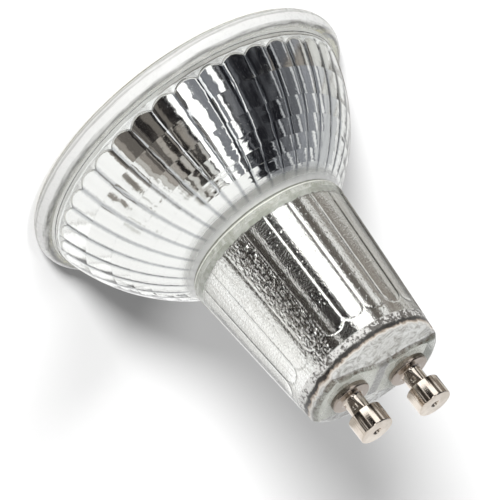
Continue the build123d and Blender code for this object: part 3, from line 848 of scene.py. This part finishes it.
# Finishes of the other pieces: two tones, scale of the noise, metallic, roughness from and
# to, and height of the bump in metres
finishes = {
    "plainAluminium": ((0.72, 0.72, 0.72), (0.85, 0.85, 0.85), 900, 1.0, (0.25, 0.4), 0.00001),
    "solderMask": ((0.80, 0.80, 0.78), (0.88, 0.88, 0.86), 500, 0.0, (0.35, 0.5), 0.00001),
    "phosphor": ((0.80, 0.55, 0.05), (0.88, 0.66, 0.12), 2500, 0.0, (0.5, 0.7), 0.00002),
    "steel": ((0.55, 0.55, 0.56), (0.70, 0.70, 0.71), 1500, 1.0, (0.2, 0.35), 0.00001),
    "whitePlastic": ((0.78, 0.78, 0.76), (0.86, 0.86, 0.84), 700, 0.0, (0.4, 0.55), 0.00002),
    "greenBoard": ((0.03, 0.16, 0.06), (0.06, 0.24, 0.10), 1200, 0.0, (0.3, 0.5), 0.00001),
    "capacitorSleeve": ((0.02, 0.02, 0.025), (0.06, 0.06, 0.07), 900, 0.0, (0.25, 0.4), 0.00001),
    "filmBox": ((0.45, 0.08, 0.04), (0.55, 0.13, 0.07), 900, 0.0, (0.3, 0.5), 0.00002),
    "ferrite": ((0.05, 0.05, 0.055), (0.11, 0.11, 0.11), 2500, 0.0, (0.5, 0.75), 0.00003),
    "copperWire": ((0.65, 0.28, 0.13), (0.80, 0.40, 0.20), 1500, 1.0, (0.2, 0.35), 0.00003),
    "blackEpoxy": ((0.02, 0.02, 0.02), (0.06, 0.06, 0.06), 3000, 0.0, (0.5, 0.7), 0.00002),
    "resistorCoat": ((0.10, 0.30, 0.22), (0.16, 0.38, 0.28), 1500, 0.0, (0.3, 0.5), 0.00002),
    "wireSleeve": ((0.70, 0.70, 0.68), (0.82, 0.82, 0.80), 1500, 0.0, (0.4, 0.6), 0.00002),
    "silicone": ((0.86, 0.86, 0.83), (0.92, 0.92, 0.89), 900, 0.0, (0.45, 0.65), 0.00002),
    "washerSteel": ((0.60, 0.58, 0.55), (0.74, 0.72, 0.69), 1800, 1.0, (0.2, 0.35), 0.00001),
}
wearing = {
    "plainAluminium": ["heat_spreader"], "solderMask": ["led_board"],
    "phosphor": [f"led_package_{number}" for number in range(1, 5)],
    "steel": ["board_screw_left", "board_screw_right"], "whitePlastic": ["insulator_tube"],
    "greenBoard": ["driver_board"], "capacitorSleeve": ["smoothing_capacitor"],
    "filmBox": ["film_capacitor"], "ferrite": ["choke_core"], "copperWire": ["choke_winding"],
    "blackEpoxy": ["bridge_rectifier", "driver_chip"], "resistorCoat": ["fusible_resistor"],
    "silicone": ["lens_seal"],
    "wireSleeve": ["pin_wire_left", "pin_wire_right", "led_wire_left", "led_wire_right"],
    "washerSteel": ["pin_washer_left", "pin_washer_right"],
}


def finish(name):
    # two tones mixed by noise, with roughness and a fine bump from finer noise
    lowTone, highTone, grain, metallic, (low, high), depth = finishes[name]
    material, net = newMaterial(name)
    where = net.coordinate()
    cover = net.step(net.noise(where, grain * 0.3, 3.0), 0.3, 0.7)
    fine = net.noise(where, grain, 3.0, 0.6)
    surface(net, Base_Color=net.blend(cover, lowTone, highTone), Metallic=metallic,
            Roughness=low + (high - low) * fine, Normal=net.bump(fine, 0.5, depth))
    return material


def clearPlastic():
    # nearly clear, with a slight haze in its colour, roughness and bump
    material, net = newMaterial("clearPlastic")
    haze = net.noise(net.coordinate(), 300.0, 2.0)
    tone = net.blend(haze, (0.97, 0.98, 0.98), (0.99, 0.99, 0.99))
    surface(net, Base_Color=tone, Roughness=0.02 + 0.04 * haze, IOR=1.49,
            Transmission_Weight=1.0, Normal=net.bump(haze, 0.1, 0.00005))
    return material


def dress(node, material):
    # a CAD node keeps its mesh and gets one material
    slots = nodes[node].data.materials
    slots.clear()
    slots.append(material)


for name, members in wearing.items():
    material = finish(name)
    for member in members:
        dress(member, material)
dress("front_lens", clearPlastic())
print("finishes")


# Camera: lens and sensor in mm, its place in metres, and its three axes
camera = {
    "lens": 324.65, "sensor": 36.0, "place": (0.317890, -0.465847, 0.251857),
    "right": (-0.78331, -0.2456, 0.57106), "up": (-0.34409, -0.59377, -0.72735),
    "back": (0.51771, -0.76624, 0.3806),
}


def addCamera():
    # the matrix has the axes and the place as its columns
    data = bpy.data.cameras.new("camera")
    data.lens, data.sensor_width, data.clip_start = camera["lens"], camera["sensor"], 0.01
    thing = bpy.data.objects.new("camera", data)
    axes = [camera["right"], camera["up"], camera["back"], camera["place"]]
    rows = [[axis[row] for axis in axes] for row in range(3)]
    thing.matrix_world = Matrix(rows + [[0, 0, 0, 1]])
    bpy.context.scene.collection.objects.link(thing)
    bpy.context.scene.camera = thing


addCamera()
print("camera")


# Floor, lamps and surroundings
studio = {
    "floorSize": 9.0, "floorColour": (0.45, 0.45, 0.45), "floorLift": 0.03,
    # each lamp: strength, spread, azimuth and elevation
    "floorSun": (22.0, 8.0, -60.0, 12.0), "sideSun": (2.9, 16.0, -90.0, 34.0),
    "objectSun": (2.0, 30.0, -75.0, 45.0),
    "diffuse": 0.42, "murk": 0.1, "softness": 1.5,  # softness in degrees
    "warm": [(0.0, (0.018, 0.016, 0.016)), (0.35, (0.33, 0.30, 0.27)), (0.7, (0.68, 0.68, 0.66)),
             (1.0, 1.0)],
    "cool": [(0.0, (0.012, 0.012, 0.015)), (0.35, (0.29, 0.30, 0.33)), (0.7, (0.66, 0.67, 0.68)),
             (1.0, 1.0)],
    # each panel: from and to in degrees round from the camera, from and to in height, level
    "panels": [
        # behind and above
        (45, 181, -3, 90, 1.0), (24, 181, -21.5, -3, 1.15), (-181, -150, -19, 90, 0.9),
        (-181, 181, 66, 90, 1.0),
        # below: for the pins
        (-48, 9, -90, -21.5, 1.9), (57, 65, -90, -21.5, 1.2), (68, 181, -90, -21.5, 0.72),
        (-98, -78, -90, -21.5, 0.3), (-135, -103, -90, -21.5, 0.78),
        (-181, -135, -90, -21.5, 0.6),
        # a little below: for the neck
        (-58, -26, -21.5, -3, 1.6), (-80, -60, -21.5, -3, 0.14), (5, 9, -21.5, -3, 1.0),
        (-120, -92, -21.5, -3, 0.3), (-91, -77, -21.5, -3, 0.9), (-150, -124, -21.5, -3, 0.7),
        # level and above: for the bowl
        (36, 45, -3, 20, 0.30), (24, 36, -3, 20, 0.12), (4, 14, -3, 20, 0.16),
        (38, 45, 20, 36, 0.5), (30, 38, 20, 36, 0.28), (22, 30, 20, 36, 0.1),
        (14, 22, 20, 36, 0.4), (-4, 6, 20, 36, 0.3), (36, 45, 36, 50, 0.6),
        (24, 36, 36, 50, 0.4), (8, 16, 36, 50, 0.5), (-6, 2, 36, 50, 0.5),
        (34, 45, 50, 66, 0.75), (26, 34, 50, 66, 0.12), (14, 26, 50, 66, 0.6),
        (-6, 4, 50, 66, 0.7), (-24, -9, -3, 66, 1.6), (-38, -25, -3, 66, 0.24),
        (-46, -39, -3, 66, 1.4), (-56, -51, -3, 66, 0.12), (-92, -89, -3, 66, 0.6),
        (-106, -94, -3, 66, 0.13), (-111, -107, -3, 66, 0.7), (-124, -112, -3, 66, 0.3),
        (-129, -124, -3, 66, 0.9), (-150, -131, -3, 66, 0.6),
    ],
    # each shade is placed as a panel is, and takes away a share of what lies behind it
    "shades": [
        (22, 34, -21.5, -3, 0.97), (37, 47, -21.5, -3, 0.97), (49, 61, -21.5, -3, 0.95),
        (64, 66, -21.5, -3, 0.5), (69, 72, -21.5, -3, 0.4), (80, 84, -21.5, -3, 0.5),
        (-181, 181, -90, -38, 0.5), (52, 59, 22, 34, 0.8), (72, 79, 20, 31, 0.75),
        (62, 66, 36, 44, 0.35), (48, 52, 42, 52, 0.4), (90, 95, 24, 34, 0.3)],
}


def addFloor():
    # a matt square at z = 0; a little light is added where the camera looks at it
    half = studio["floorSize"] / 2
    corners = [(-half, -half, 0), (half, -half, 0), (half, half, 0), (-half, half, 0)]
    mesh = bpy.data.meshes.new("floor")
    mesh.from_pydata(corners, [], [(0, 1, 2, 3)])
    floor = bpy.data.objects.new("floor", mesh)
    bpy.context.scene.collection.objects.link(floor)
    material, net = newMaterial("paleFloor")
    path = net.add("ShaderNodeLightPath", output="Is Camera Ray")
    lift = net.add("ShaderNodeEmission", sockets={"Strength": path * studio["floorLift"]})
    paper = net.noise(net.coordinate(), 400.0, 3.0)
    colour = studio["floorColour"]
    tone = net.blend(paper, colour, tuple(value * 1.01 for value in colour))
    matt = net.add("ShaderNodeBsdfDiffuse", sockets={"Color": tone})
    net.finish(net.add("ShaderNodeAddShader", sockets={0: lift, 1: matt}))
    floor.data.materials.append(material)
    floor.visible_glossy = False  # gloss and glass see the surroundings instead
    floor.visible_transmission = False
    return floor


def addSun(name, floor, lightsFloor):
    # the sun's -Z axis points along its light; it lights the floor alone, or all but the floor
    strength, spread, azimuth, elevation = studio[name]
    data = bpy.data.lights.new(name, "SUN")
    data.energy, data.angle = strength, math.radians(spread)
    thing = bpy.data.objects.new(name, data)
    thing.rotation_euler = (math.radians(90 - elevation), 0, math.radians(azimuth + 90))
    thing.visible_glossy = thing.visible_transmission = False
    bpy.context.scene.collection.objects.link(thing)
    receivers = bpy.data.collections.new(f"{name}_receivers")
    receivers.objects.link(floor)
    receivers.collection_objects[0].light_linking.link_state = "INCLUDE" if lightsFloor else "EXCLUDE"
    thing.light_linking.receiver_collection = receivers
    if not lightsFloor:  # this light reaches the linings through the glass
        blockers = bpy.data.collections.new(f"{name}_blockers")
        blockers.objects.link(glassPiece)
        blockers.collection_objects[0].light_linking.link_state = "EXCLUDE"
        thing.light_linking.blocker_collection = blockers


def surroundings():
    # the brightest panel in each direction, less the shades, over a faint murk; it is cool
    # grey above level on one side and warm grey elsewhere. The camera sees plain white, and
    # matt surfaces get one plain grey
    world = bpy.data.worlds.new("studio")
    bpy.context.scene.world = world
    world.use_nodes = True
    net = Net(world.node_tree)
    direction = net.coordinate("Generated")
    x, y, z = net.parts(direction)
    turn = x.math("ARCTAN2", y, x) * (180 / math.pi) - viewAzimuth
    turn = turn - 360 * turn.above(180.0)
    rise = z.math("ARCSINE", z) * (180 / math.pi)

    def patch(left, right, low, high, level):
        # the level between two turns and two heights
        across = net.band(turn, left, right, studio["softness"])
        return across * net.band(rise, low, high, studio["softness"]) * level

    light, *others = [patch(*panel) for panel in studio["panels"]]
    for other in others:
        light = light.atLeast(other)
    for shade in studio["shades"]:
        light = light * (1 - patch(*shade))
    murk = net.noise(direction, 5.0, 3.0)
    light = light.atLeast(net.step(murk, 0.45, 0.8) * studio["murk"])
    coolSide = net.step(rise, -4, 0) * (1 - net.step(turn, -20, 5))
    tone = net.blend(coolSide, net.ramp(light, studio["warm"]), net.ramp(light, studio["cool"]))
    path = net.add("ShaderNodeLightPath", output="Is Camera Ray")
    diffuse = Wire(net, path.out.node.outputs["Is Diffuse Ray"])
    seen = net.blend(diffuse, tone, (studio["diffuse"],) * 3)
    seen = net.blend(path, seen, (1.0, 1.0, 1.0))
    bright = 1 + (light - 1).atLeast(0.0) * (1 - path) * (1 - diffuse)  # levels above 1
    back = net.add("ShaderNodeBackground", sockets={"Color": seen, "Strength": bright})
    net.add("ShaderNodeOutputWorld", sockets={"Surface": back})


floor = addFloor()
addSun("floorSun", floor, True)
addSun("sideSun", floor, True)
addSun("objectSun", floor, False)
surroundings()
bpy.context.scene.view_settings.view_transform = "Standard"
print("studio")
